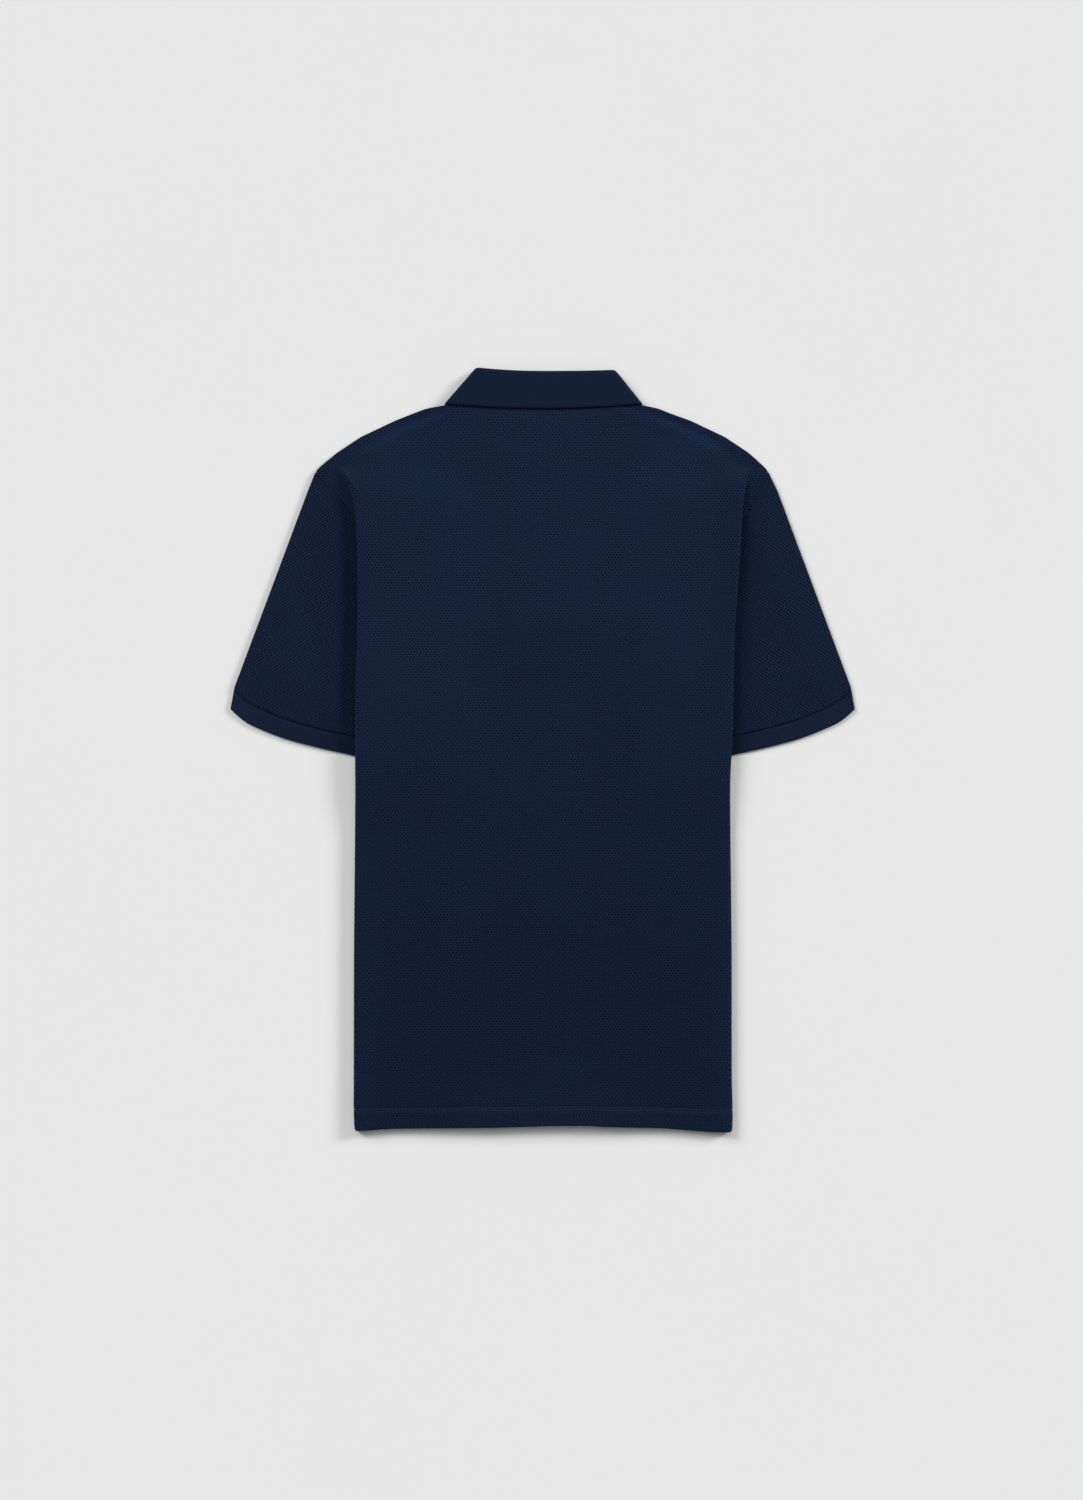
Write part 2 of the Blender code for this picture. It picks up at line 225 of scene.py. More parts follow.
def piqueGroup():
    # Honeycomb of pores on a centred lattice. With u and v across and along the cloth, the
    # lattice is cos(2 pi u / width) cos(2 pi v / height), and its tops are the pores.
    group, take, give = newGroup("piqueKnit", [
        ("Cloth", "Vector"), ("Cell Width", "Float"), ("Cell Height", "Float"),
        ("Unevenness", "Float"),
    ], [("Height", "Float"), ("Pores", "Float")])
    place = splitPlace(group, take["Cloth"])
    drift = centred(group, noiseFrom(group, take["Cloth"], 160), take["Unevenness"])
    waves = []
    for axis, size in (("X", "Cell Width"), ("Y", "Cell Height")):
        turn = maths(group, "ADD", maths(group, "DIVIDE", place[axis], take[size]), drift)
        waves.append(maths(group, "COSINE", maths(group, "MULTIPLY", turn, 2 * np.pi)))
    pores = softStep(group, maths(group, "MULTIPLY", *waves), 0.05, 0.85)
    # the loops between the pores: finer waves across the cloth, lower than the honeycomb
    loops = waveAlong(group, place["X"], take["Cell Width"], 4)
    loops = maths(group, "MULTIPLY_ADD", loops, 0.06, 0.7)
    group.links.new(maths(group, "SUBTRACT", loops, pores), give["Height"])
    group.links.new(pores, give["Pores"])
    return group


def ribGroup():
    # Fine ribs: a wave across the wales, 0.5 + 0.5 cos(2 pi u / pitch), and a weaker one of loops.
    group, take, give = newGroup("ribKnit", [("Cloth", "Vector"), ("Pitch", "Float")],
                                 [("Height", "Float"), ("Valleys", "Float")])
    place = splitPlace(group, take["Cloth"])
    across = waveAlong(group, place["X"], take["Pitch"], 1)
    ribs = maths(group, "MULTIPLY_ADD", across, 0.5, 0.5)
    along = waveAlong(group, place["Y"], take["Pitch"], 1.3)
    group.links.new(maths(group, "MULTIPLY_ADD", along, 0.12, ribs), give["Height"])
    group.links.new(maths(group, "SUBTRACT", 1.0, ribs), give["Valleys"])
    return group


def toneAndShadeGroup():
    # Tone of the yarn in slow patches and a speckle of fibres, and painted light and shade: the
    # tone is mixed from hem to collar, painted lighter towards the collar, and from middle to
    # sides, which meets the sleeves' own tone on the body and is painted shade beside the body's
    # folds on the sleeves and cuffs.
    # Dark is painted shade in the pores, more in some patches than in others: mean + share (dark -
    # mean).
    group, take, give = newGroup("toneAndShade", [
        ("Place", "Vector"), ("Colour", "Color"), ("Far Colour", "Color"), ("Side Colour", "Color"),
        ("Side From", "Float", 0.15), ("Side To", "Float", 0.215), ("Patches", "Float"),
        ("Speckle", "Float"), ("Dark", "Float", 0.0), ("Mean Dark", "Float", 0.0),
    ], [("Color", "Color"), ("Fibres", "Float")])
    place = splitPlace(group, take["Place"])
    # painted light: from Far Colour at the hem to Colour at the collar
    upwards = softStep(group, place["Y"], -0.3, 0.2)
    # towards Side Colour at the sides; on the sleeves and cuffs the colours nearer the middle are
    # painted shade beside the body's folds
    sideways = softStep(group, maths(group, "ABSOLUTE", place["X"]),
                        take["Side From"], take["Side To"])
    colour = mixColours(group, upwards, take["Far Colour"], take["Colour"])
    colour = mixColours(group, sideways, colour, take["Side Colour"])
    fibres = noiseFrom(group, take["Place"], 900, 3)
    patches = centred(group, noiseFrom(group, take["Place"], 7, 3), take["Patches"])
    speckle = centred(group, fibres, take["Speckle"])
    share = maths(group, "MULTIPLY_ADD", noiseFrom(group, take["Place"], 38), 3.2, -0.6)
    share = maths(group, "MAXIMUM", share, 0.2)
    dark = maths(group, "SUBTRACT", take["Dark"], take["Mean Dark"])
    dark = maths(group, "MULTIPLY_ADD", dark, share, take["Mean Dark"])
    tone = maths(group, "SUBTRACT", maths(group, "ADD", patches, speckle), dark)
    values = {0: colour, "Scale": maths(group, "ADD", tone, 1.0)}
    shadedTone = nodeWith(group, "VectorMath", values, operation="SCALE")
    group.links.new(shadedTone["Vector"], give["Color"])
    group.links.new(fibres, give["Fibres"])
    return group


def newMaterial(name, surface):
    # surface gives the shader's own values, the same all over
    made = bpy.data.materials.new(name)
    made.use_nodes = True
    tree = made.node_tree
    shader = tree.nodes["Principled BSDF"]
    for label, value in surface.items():
        shader.inputs[label].default_value = value
    return made, tree, shader.inputs, tree.nodes.new("ShaderNodeTexCoord").outputs


def knitMaterial(name, knit, look):
    made, tree, shader, where = newMaterial(name, look["surface"])
    knitted = nodeWith(tree, "Group", {"Cloth": where["UV"], **look["knit"]}, node_tree=knit)
    yarnAndShade = nodeWith(tree, "Group", {
        "Place": where["Object"], **look["tones"],
        # painted shade in the pores and in the rib's valleys
        "Dark": maths(tree, "MULTIPLY", knitted[1], look["poreShade"]),
        "Mean Dark": look["poreShade"] * look["poreShare"],
    }, node_tree=toneAndShade)
    tree.links.new(yarnAndShade["Color"], shader["Base Color"])
    height = maths(tree, "MULTIPLY_ADD", yarnAndShade["Fibres"], 0.25, knitted["Height"])
    bump = nodeWith(tree, "Bump", {"Strength": look["bump"], "Distance": look["bumpDepth"],
                                   "Height": height})
    tree.links.new(bump["Normal"], shader["Normal"])
    return made


def threadMaterial(name, look):
    made, tree, shader, where = newMaterial(name, look["surface"])
    tones = {label: look["colour"] for label in ("Colour", "Far Colour", "Side Colour")}
    values = {"Place": where["Object"], **tones, "Patches": 0.1, "Speckle": 0.5}
    yarnAndShade = nodeWith(tree, "Group", values, node_tree=toneAndShade)
    tree.links.new(yarnAndShade["Color"], shader["Base Color"])
    return made


def grainMaterial(name, look):
    # a noise that moves between two colours
    made, tree, shader, where = newMaterial(name, look["surface"])
    ramp = tree.nodes.new("ShaderNodeValToRGB")
    for element, colour in zip(ramp.color_ramp.elements, look["colours"]):
        element.color = (*colour, 1)
    grain = noiseFrom(tree, where["Object"], look["scale"], distortion=look["distortion"])
    tree.links.new(grain, ramp.inputs["Fac"])
    tree.links.new(ramp.outputs["Color"], shader["Base Color"])
    return made


# In the tones, Far Colour is at the hem, Colour at the collar, and Side Colour from the
# distance Side To on, in metres from the middle.
clothSurface = {"Roughness": 0.95, "Specular IOR Level": 0.05, "Sheen Weight": 0.05,
                "Sheen Roughness": 0.4, "Sheen Tint": (0.3, 0.5, 1.0, 1)}
# painted light: Colour at the collar is lighter and Far Colour at the hem darker; Side Colour is
# the sleeves' own tone at the shoulder tips
piqueLook = {
    "knit": {"Cell Width": 0.0035, "Cell Height": 0.0051, "Unevenness": 0.35},
    "tones": {"Colour": (0.0090, 0.0177, 0.0500, 1), "Far Colour": (0.0062, 0.0135, 0.0322, 1),
              "Side Colour": (0.0082, 0.0166, 0.0410, 1), "Side From": 0.15, "Side To": 0.215,
              "Patches": 0.15, "Speckle": 0.5},
    "poreShade": 0.7, "poreShare": 0.2, "bump": 0.7, "bumpDepth": 0.0007, "surface": clothSurface,
}
sleeveLook = {
    **piqueLook,
    # Colour and Far Colour, near the body, are painted shade in the valley beside the body's fold;
    # Side Colour further out is the sleeve's own tone
    "tones": {**piqueLook["tones"], "Colour": (0.0065, 0.0130, 0.0322, 1),
              "Far Colour": (0.0065, 0.0130, 0.0322, 1), "Side From": 0.175, "Side To": 0.24,
              "Side Colour": (0.0083, 0.0166, 0.0412, 1)},
    "poreShade": 0.75, "bump": 0.85,
}
ribLook = {
    "knit": {"Pitch": 0.0016},
    # Colour is the collar's tone; the dark Far Colour and the inner colours of the cuffs are
    # painted shade beside the body's fold; Side Colour further out is the cuffs' own tone
    "tones": {"Colour": (0.0071, 0.0145, 0.0355, 1), "Far Colour": (0.0022, 0.0038, 0.0095, 1),
              "Side Colour": (0.0085, 0.0147, 0.0364, 1), "Side From": 0.175, "Side To": 0.24,
              "Patches": 0.08, "Speckle": 0.2},
    "poreShade": 0.12, "poreShare": 0.5, "bump": 0.35, "bumpDepth": 0.0004,
    "surface": clothSurface,
}
threadLook = {"colour": (0.0125, 0.0235, 0.056, 1),
              "surface": {"Roughness": 0.85, "Sheen Weight": 0.05}}
neckThreadLook = {"colour": (0.0098, 0.0185, 0.046, 1),
                  "surface": {"Roughness": 0.9, "Sheen Weight": 0.0}}
buttonLook = {"colours": ((0.010, 0.014, 0.030), (0.020, 0.027, 0.052)), "scale": 240,
              "distortion": 1.5, "surface": {"Roughness": 0.3}}
floorLook = {"colours": ((0.797, 0.797, 0.797), (0.803, 0.803, 0.803)), "scale": 3,
             "distortion": 0, "surface": {"Roughness": 1, "Specular IOR Level": 0}}

piqueKnit, ribKnit, toneAndShade = piqueGroup(), ribGroup(), toneAndShadeGroup()
bodyCloth = knitMaterial("navyPique", piqueKnit, piqueLook)
sleeveCloth = knitMaterial("navyPiqueSleeve", piqueKnit, sleeveLook)
ribCloth = knitMaterial("navyRib", ribKnit, ribLook)
thread = threadMaterial("navyThread", threadLook)
neckThread = threadMaterial("navyThreadDull", neckThreadLook)
buttonPlastic = grainMaterial("buttonPlastic", buttonLook)
print("finishes made")

# The body: back and front panels, whose sides turn under together.
body = {
    "bendSteps": 12, "stripSteps": 7, "backSteps": 5, "tailSteps": 7, "rollSteps": 9,
    "roll": 150,  # degrees that the back rolls over the edge of the shoulder
    "puff": 25,  # the cloth lifts towards its fold over this width
    "edgeFlat": 14,
    "corner": 279,
    "lift": 1.6, "liftReach": 80, "liftRun": 60, "liftFoot": 50, "footRun": 80,
    "liftHead": 343, "headRun": 60,
    "cornerRound": 1.6, "cornerHeight": 4, "shoulderReach": 2.2,
    "hemDepth": 17.5, "hemRaise": 0.22, "hemRun": 180, "hemFrom": -200, "hemMiddle": 5.5,
    "calmRun": 14, "calmShare": 0.5,  # the hem's line is this much straighter this far in
    "stitchRows": (16.2, 19.3), "groove": 0.3, "grooveWidth": 1.0,
    "hemRound": 1.3, "neckRound": 1.0, "sideRound": 0.9,  # rounded edges of the cloth
}

# How the sides bend away from the back, walking outwards from the fold. turn and back are
# angles in degrees, and bend, strip and bendBack are lengths along the cloth.
folds = np.array([
    # y, turn, bend, strip, back, bendBack
    (101, 180, 6.3, 77, 0, 1), (115, 180, 6.3, 52, 0, 1), (133, 180, 6.3, 36, 0, 1),
    (150, 180, 6.3, 27, 0, 1), (185, 180, 6.3, 20, 0, 1), (226, 180, 6.3, 10, 0, 1),
    (234, 125, 4.3, 0.7, 125, 3.6), (238, 122, 4.2, 0.7, 122, 3.6),
    (242, 120, 4.2, 0.7, 120, 3.6),
    (250, 110, 4.2, 0.8, 110, 3.4), (258, 95, 4.2, 1, 95, 3.2), (266, 75, 4.5, 1, 75, 3.5),
    (272, 50, 5, 1, 50, 4), (279, 22, 6, 1, 22, 5), (285, 0, 6, 1, 0, 5),
])
foldX = np.array([
    # y, left, right: where the fold starts to bend
    (-380, 183.6, 186.4), (-366, 185.2, 187.6), (-330, 185, 186.5), (-200, 184.8, 186.5),
    (-20, 183.2, 184.5), (15, 183.7, 187.2), (75, 182.7, 188.7), (128, 181.2, 189.7),
    (198, 181.2, 194.7), (242, 183.5, 197.3), (266, 188, 199), (279, 196, 200), (350, 205, 205),
])
edgeX = np.array([
    # y, left, right: armhole seam, shoulder corner and shoulder
    (234, 189, 202.6), (238, 190.9, 204.8), (242, 193, 207), (258, 206, 215), (270, 219, 222),
    (279, 226.5, 226.5), (285, 220.5, 221),
    (299, 203.5, 205.5), (315, 179.5, 181.5), (331, 145.5, 147.5), (339, 124.5, 124.5),
    (343, 111.5, 113.5), (345.5, 99, 103), (346.2, 93, 96.8), (350, 87, 91),
])
heights = np.array([
    # y, middle, side, lowest, riseFrom, riseTo: of the face between back and front
    (-380, 6.8, 4.35, 1.35, 60, 130), (-340, 3.0, 4.35, 1.35, 50, 120),
    (-300, 1.35, 4.35, 1.35, 30, 106), (-75, 1.35, 4.35, 1.35, 30, 106),
    (-30, 1.35, 7.35, 4.35, 40, 106),
    (60, 1.35, 7.35, 4.35, 40, 106), (133, 4.15, 7.35, 4.35, 40, 106),
    (226, 4.15, 7.35, 4.35, 40, 106), (234, 4.15, 7.3, 1.35, 40, 106),
    (250, 4.15, 7, 1.35, 45, 110), (266, 4.15, 6.2, 1.35, 60, 120),
    (285, 4.15, 4.6, 1.35, 70, 130), (315, 4.15, 3.6, 1.35, 90, 130),
    (331, 4.15, 3.7, 1.8, 90, 130), (343, 4.15, 3.9, 3.7, 90, 130),
    (350, 4.15, 4.15, 4.15, 70, 80),
])
hem = np.array([
    # x, rise of the hem's edge
    (-190, 0.2), (-177, 0.8), (-153, 2.6), (-45, 3.9), (2, 5.5), (45, 5.9), (62, 4.7),
    (122, 3.2), (146, 1.2), (170, -0.6), (190, -0.8),
])
neckline = np.array([
    # y, half width
    (283.2, placketHalf + gap), (285, 26), (299, 50), (315, 60), (331, 66), (339, 68), (350, 70),
])
# Soft troughs and ridges: middle, heading in degrees, half length, half width, height.
backCreases = np.array([
    (-150, 205, 62, 70, 16, 0.5), (-168, 120, 80, 90, 12, 0.45), (-120, 262, 40, 60, 18, 0.4),
    (158, 190, 112, 75, 15, 0.5), (172, 90, 98, 85, 12, 0.4), (118, 268, 140, 55, 18, 0.4),
    (-60, 60, 75, 120, 30, -0.35), (70, 10, 100, 130, 34, -0.35), (-100, -120, 84, 120, 26, 0.35),
    (95, -160, 97, 110, 24, 0.3), (0, -250, 178, 90, 22, 0.3), (-150, -290, 60, 45, 14, 0.3),
    (150, -300, 125, 50, 15, 0.3),
])
frontCreases = np.array([
    (-120, 180, 70, 80, 16, -0.5), (125, 150, 108, 70, 14, -0.45), (-90, -60, 84, 110, 22, -0.4),
    (80, -140, 95, 120, 24, -0.4), (0, -280, 4, 80, 18, -0.35), (-60, 30, 100, 90, 20, -0.3),
    (60, -20, 75, 90, 22, -0.3),
])


def creaseHeight(table, x, y):
    # each one is height exp(-(along / length)^2) exp(-(across / width)^2), bent a little sideways
    total = np.zeros(np.broadcast(x, y).shape)
    for cx, cy, heading, length, width, height in table:
        c, s = np.cos(np.radians(heading)), np.sin(np.radians(heading))
        along = (x - cx) * c + (y - cy) * s
        across = (y - cy) * c - (x - cx) * s + 0.12 * along ** 2 / length
        total += height * hump(along / length) * hump(across / width)
    return total


def bentPath(start, heading, length, turn, count):
    # points after start along a bend: length t e^(i (heading + turn t / 2)) sinc(turn t / 2)
    t = np.arange(1, count + 1) / count
    half = turn[:, None] * t / 2
    step = length[:, None] * t * np.exp(1j * (heading[:, None] + half)) * np.sinc(half / np.pi)
    return start[:, None] + step, heading[:, None] + turn[:, None] * t


def sideAt(table, side, y):
    # foldX and edgeX give the left side's value and then the right side's
    return tableAt(table, 1 if side < 0 else 2, y)


def sideReach(y, side):
    edge, start = sideAt(edgeX, side, y), sideAt(foldX, side, y)
    return np.where(y > body["corner"], np.minimum(start, edge - body["edgeFlat"]), start), edge


def blendRows(values, fromY, toY):
    # Each wanted row is a mean of straight blends between the given rows, over a stretch of y
    # that is wide on the body and narrow at the shoulders, where the outline turns quickly.
    blur = 12 - 9 * ease((toY - 195) / 20) - 2 * ease((toY - 285) / 12)
    weights = np.zeros((len(toY), len(fromY)))
    wanted = np.arange(len(toY))
    offsets = np.linspace(-1, 1, 9)
    for offset in offsets:
        y = np.clip(toY + offset * blur, fromY[0], fromY[-1])
        k = np.clip(np.searchsorted(fromY, y) - 1, 0, len(fromY) - 2)
        share = (y - fromY[k]) / (fromY[k + 1] - fromY[k])
        weights[wanted, k] += (1 - share) / len(offsets)
        weights[wanted, k + 1] += share / len(offsets)
    return weights @ values


def mainHeight(x, y, start, top):
    # middle + rise to the sides + a last lift to the height of the fold
    middle, side = tableAt(heights, 1, y)[:, None], tableAt(heights, 2, y)[:, None]
    low, high = tableAt(heights, 4, y)[:, None], tableAt(heights, 5, y)[:, None]
    rise = (side - middle) * ease((x - low) / (high - low))
    last = (top[:, None] - side) * ease((x - start[:, None] + body["puff"]) / body["puff"])
    return middle + rise + last


def shoulderStretch(y, side):
    # 1 over the sine of the angle between the shoulder's line and the rows
    slope = (sideAt(edgeX, side, y - 3) - sideAt(edgeX, side, y + 3)) / 6
    return np.clip(np.sqrt(1 + slope ** 2), 1, 4.5)


def sideSection(y, side, inner, fractions, rolled):
    # One half of every row: base points (x, z) and headings, from x = inner out to the edge.
    turn, bend, strip, back, bendBack = (tableAt(folds, k, y) for k in range(1, 6))
    turn, back = np.radians(turn), np.radians(back)
    start, edge = sideReach(y, side)
    still = np.zeros(len(y))
    point, heading = still + 0j, still
    stretches = []
    for length, angle, count in ((bend, -turn, body["bendSteps"]),
                                 (strip, still, body["stripSteps"]),
                                 (bendBack, back, body["backSteps"])):
        points, headings = bentPath(point, heading, length, angle, count)
        stretches.append((points, headings))
        point, heading = points[:, -1], headings[:, -1]
    shoulder = ease((y - 277) / 6) * rolled
    stretch = 1 + (shoulderStretch(y, side) - 1) * shoulder
    flat = np.abs(heading) < 0.01
    edge = edge + body["shoulderReach"] * shoulder
    reach = edge - start - point.real - 0.5 - (halfLayer + pique / 2) * stretch * shoulder
    tail = 0.4 + (np.maximum(reach, 0.4) - 0.4) * flat
    tailPoints, headings = bentPath(point, heading, tail, still, body["tailSteps"])
    stretches.append((tailPoints, headings))
    rollPoints, headings = bentPath(tailPoints[:, -1], headings[:, -1], still + 0.4,
                                    -np.radians(body["roll"]) * shoulder, body["rollSteps"])
    stretches.append((rollPoints, headings))
    turned, headings = (np.concatenate(parts, axis=1) for parts in zip(*stretches))
    top = tableAt(heights, 3, y) - tailPoints[:, -1].imag
    x = inner[:, None] + fractions * (start - inner)[:, None]
    z = mainHeight(x, y, start, top)
    slope = np.arctan(mainHeight(x + 0.5, y, start, top) - mainHeight(x - 0.5, y, start, top))
    slope[:, -1] = 0
    x = np.concatenate([x, start[:, None] + turned.real], axis=1)
    z = np.concatenate([z, top[:, None] + turned.imag], axis=1)
    headings = np.concatenate([slope, headings], axis=1)
    widen = np.ones(x.shape)
    widen[:, -body["rollSteps"]:] = stretch[:, None]
    return x, z, headings, widen


sectionRows = np.array([
    -380, -366, -340, -330, -300, -200, -75, -30, 15, 60, 75, 101, 115, 128, 133, 150, 185, 198,
    226, 234, 238, 242, 250, 258, 266, 272, 279, 285, 299, 315, 331, 339, 343, 345.5, 346.2, 350,
])
mainFractions = np.concatenate([np.linspace(0, 0.8, 26)[:-1], np.linspace(0.8, 1, 15)])


def backLift(x, y):
    # the middle of the upper back lies a little higher
    along = ease((y - body["liftFoot"]) / body["footRun"])
    along = along * ease((body["liftHead"] - y) / body["headRun"])
    return body["lift"] * ease((body["liftReach"] - np.abs(x)) / body["liftRun"]) * along


def hemRise(x, y):
    # the edge's own line, calmer at the stitches, and straight from hemFrom on
    edge = np.mean([tableAt(hem, 1, x + o) for o in np.linspace(-7, 7, 7)], axis=0)
    middle = body["hemMiddle"]
    calm = body["calmShare"] * ease((y - hemLine) / body["calmRun"])
    return (middle + (edge - middle) * (1 - calm)) * ease((body["hemFrom"] - y) / body["hemRun"])


def panelGrid(y, inner, facing, creases):
    # Both faces of a body panel, from x = inner at sectionRows outwards. facing is 1 for the
    # back and -1 for the front, and each face lies half a layer and then half a wall off the
    # base, along its normal. The section is worked out at sectionRows and blended to rows y.
    halves = []
    corner = np.clip(1 - (y - hemLine) / body["cornerHeight"], 0, 1)  # the rounded lower corners
    tuck = 1 - body["cornerRound"] * (1 - np.sqrt(1 - corner ** 2))[:, None] / foldX[0, 1]
    for side in (-1, 1):
        x, z, heading, widen = sideSection(sectionRows, side, inner, mainFractions, facing > 0)
        nx, nz = -np.sin(heading), np.cos(heading)
        x, z, nx, nz, widen = (blendRows(v, sectionRows, y) for v in (x, z, nx, nz, widen))
        x = x * tuck
        size = np.hypot(nx, nz)
        nx, nz = nx / size * widen, nz / size
        steps = np.hypot(np.diff(x, axis=1), np.diff(z, axis=1))
        run = np.concatenate([x[:, :1], x[:, :1] + np.cumsum(steps, axis=1)], axis=1)
        halves.append({"x": side * x, "z": z, "nx": side * nx, "nz": nz, "run": side * run})
    skip = 1 if facing > 0 else 0  # the back's two halves share their middle column
    width = halves[0]["x"].shape[1] - skip
    grid = {k: np.concatenate([halves[0][k][:, ::-1][:, :width], halves[1][k]], axis=1)
            for k in halves[0]}
    rows = y[:, None]
    plan = rows + hemRise(grid["x"], rows)
    flatness = ease((np.abs(grid["nz"]) - 0.6) / 0.4) * np.sign(grid["nz"]) * facing
    crease = creaseHeight(creases, grid["x"], rows) * np.clip(flatness, 0, 1) * facing
    if facing > 0:
        crease = crease + backLift(grid["x"], rows) * (grid["nz"] > 0)
    fromHem = rows - y[0]
    band = body["hemRaise"] * ease((body["hemDepth"] + 1 - fromHem) / 1.6)
    for place in body["stitchRows"]:
        band = band - body["groove"] * hump((fromHem - place) / body["grooveWidth"])
    share = roundedEdge(fromHem, body["hemRound"]) * roundedEdge(y[-1] - rows, body["neckRound"])
    across = np.abs(grid["run"])
    share = share * roundedEdge(across.max(axis=1)[:, None] - across, body["sideRound"])
    faces = []
    for face in (1, -1):
        away = facing * (halfLayer + face * pique / 2 * share + (band if face > 0 else 0))
        faces.append(np.stack([grid["x"] + grid["nx"] * away, plan + 0 * away,
                               grid["z"] + crease + grid["nz"] * away], axis=-1))
    uv = np.stack([grid["run"], plan + 0 * grid["run"]], axis=-1)
    normal = np.stack([grid["nx"], 0 * grid["nx"], grid["nz"]], axis=-1) * facing
    return faces, uv, normal


def rowPlaces(*stretches):
    # (from, to, step) for each stretch, put end to end
    places = [np.arange(a, b - 0.01, step) for a, b, step in stretches]
    return np.concatenate(places + [[stretches[-1][1]]])


backRows = rowPlaces((-380, -379, 0.25), (-379, -376, 0.75), (-376, -366, 2), (-366, -358, 0.4),
                     (-358, -350, 2), (-350, -60, 4.5), (-60, -10, 2.5), (-10, 216, 4),
                     (216, 288, 1.2), (288, 330, 2), (330, 350, 0.8))
backFaces, uv, backNormal = panelGrid(backRows, 0 * sectionRows, 1, backCreases)
backPanel = clothShell("backPanel", *backFaces, uv, bodyCloth)
finishPiece(backPanel, "pique", "back")

frontRows = rowPlaces((-380, -376, 0.8), (-376, -366, 2), (-366, -358, 0.5), (-358, -350, 2),
                      (-350, -60, 6), (-60, -10, 3), (-10, 127, 5), (127, 133, 3), (133, 216, 5),
                      (216, 283, 2), (283, 330, 2), (330, 350, 1))
frontFaces, uv, frontNormal = panelGrid(frontRows, tableAt(neckline, 1, sectionRows), -1,
                                        frontCreases)
cut = np.zeros((len(frontRows) - 1, uv.shape[1] - 1), bool)
cut[frontRows[:-1] >= placketFoot, uv.shape[1] // 2 - 1] = True  # the placket's opening
frontPanel = clothShell("frontPanel", *frontFaces, uv, bodyCloth, cut=cut)
finishPiece(frontPanel, "pique", "front")
print("body made")


# Sleeves and cuffs are flat tubes.
sleeve = {
    "middle": halfLayer + pique / 2, "half": 0.75, "wall": 1.2, "columns": 54, "stations": 64,
    "turnSteps": 7, "seam": -0.3, "start": 0.3, "overhang": 0.35,
    "puff": {-1: 2.8, 1: 2.2}, "puffFrom": 7, "puffRun": 26, "puffEdge": 40, "puffEnd": 0.4,
    "fuller": {-1: (0.3, 0.2), 1: (1.9, 1.5)},  # outer fold, near the top and at the cuff
}
cuff = {
    "middle": 1.1, "half": 0.58, "wall": 0.9, "columns": 54, "stations": 12, "turnSteps": 7,
    "sunk": 0.1, "tucked": 0.15,
}
smoothCount = 200  # points of a seam's line while it is rounded
armholeDepths = np.array([
    # y, how far in from the fold the hidden seam runs
    (232, 0.8), (226, 2.5), (214, 7), (185, 17), (150, 24), (133, 33), (115, 49), (101, 73),
])
seamRows = (272, 266, 258, 250, 242, 238, 234)
cuffLines = np.array([
    # seam x, seam y, edge x, edge y, from the outer fold inwards
    (307.4, 62, 311, 41.6), (299, 52.2, 298, 29.7), (286.5, 45.2, 284.5, 23.5),
    (273.5, 39, 271, 17.8), (257.5, 32.4, 255, 12), (235.5, 25.8, 234, 6.4),
    (212, 19.8, 211, 0.9), (188, 15.6, 187, -4.2), (164, 7, 157.5, -13),
])
sleeveCreases = np.array([
    (262, 150, 66, 60, 9, 0.45), (232, 130, 72, 70, 8, -0.4), (215, 205, 60, 45, 8, 0.4),
    (285, 95, 70, 40, 9, -0.3), (240, 70, 40, 40, 12, 0.35),
])


def armholeLine(side):
    # along the seam that shows, then on beneath the folded side
    corner = np.array([sideAt(edgeX, side, body["corner"]), body["corner"]])
    seam = np.array([(sideAt(edgeX, side, y), y) for y in seamRows])
    direction = unit(seam[0] - corner)
    away = np.array([-direction[1], direction[0]]) * sleeve["seam"]
    start = corner + direction * sleeve["start"]
    y, depth = armholeDepths.T
    hidden = np.stack([sideAt(foldX, side, y) + sleeve["middle"] + 2 - depth, y], axis=1)
    return np.concatenate([[start + away], seam + away, hidden])


def sleevePuff(x, y, t, side, across):
    # nothing beneath the body's fold and at the armhole, and puffEnd of it left at the cuff
    clear = x - sideAt(foldX, side, y) - sleeve["puffFrom"]
    end = sleeve["puffEnd"] + (1 - sleeve["puffEnd"]) * ease((1 - t) / 0.2)
    shape = ease(clear / sleeve["puffRun"]) * ease(t / 0.1) * end
    shape = shape * ease(across / sleeve["puffEdge"])
    return shape * (sleeve["puff"][side] + creaseHeight(sleeveCreases, x, y))


def cuffPuff(x, y, t, side, across):
    # the sleeve's fullness runs out along the cuff, whose start is a little sunk
    left = sleevePuff(x, y, 1 + 0 * t, side, across) * (1 - ease(t))
    return left - cuff["sunk"] * (1 - ease(t / 0.25))


